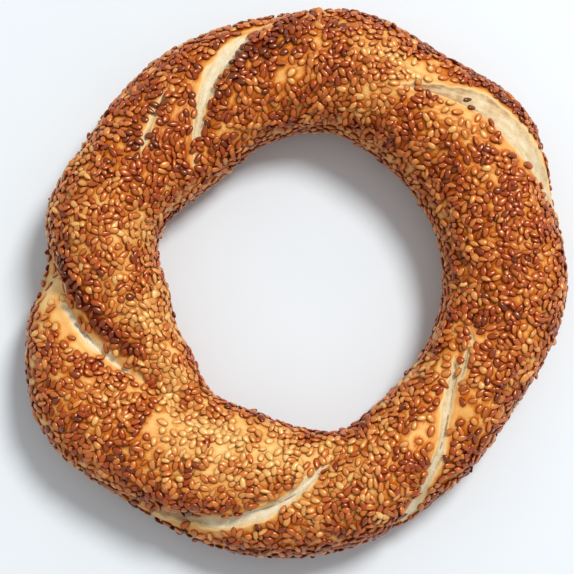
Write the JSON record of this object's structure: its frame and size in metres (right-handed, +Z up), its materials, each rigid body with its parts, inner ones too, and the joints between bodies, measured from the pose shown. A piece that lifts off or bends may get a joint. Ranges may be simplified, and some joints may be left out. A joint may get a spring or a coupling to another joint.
{
  "type": "simit",
  "caption": "Twisted bread ring with an open hole, coated with toasted sesame seeds, split along its seams and flat underneath.",
  "frame": {"origin": "under the middle of the ring's outline, on the surface it rests on", "axes": "+Z up through the hole; the deepest seam, where one rope of dough lies over the other, is on the -X side; +Y is a quarter turn counterclockwise from +X, seen from above"},
  "size_m": [0.1556, 0.1592, 0.0326],
  "materials": {
    "crust": "baked golden-brown dough crust, satin, darker on the crowns and paler by the seams",
    "crumb": "pale cream torn crumb, matt, showing where the seams have split open",
    "sesame": "toasted sesame seeds from gold through amber to dark copper, glossy"
  },
  "bodies": {
    "root": {"bread_ring": "crust"}
  },
  "joints": []
}
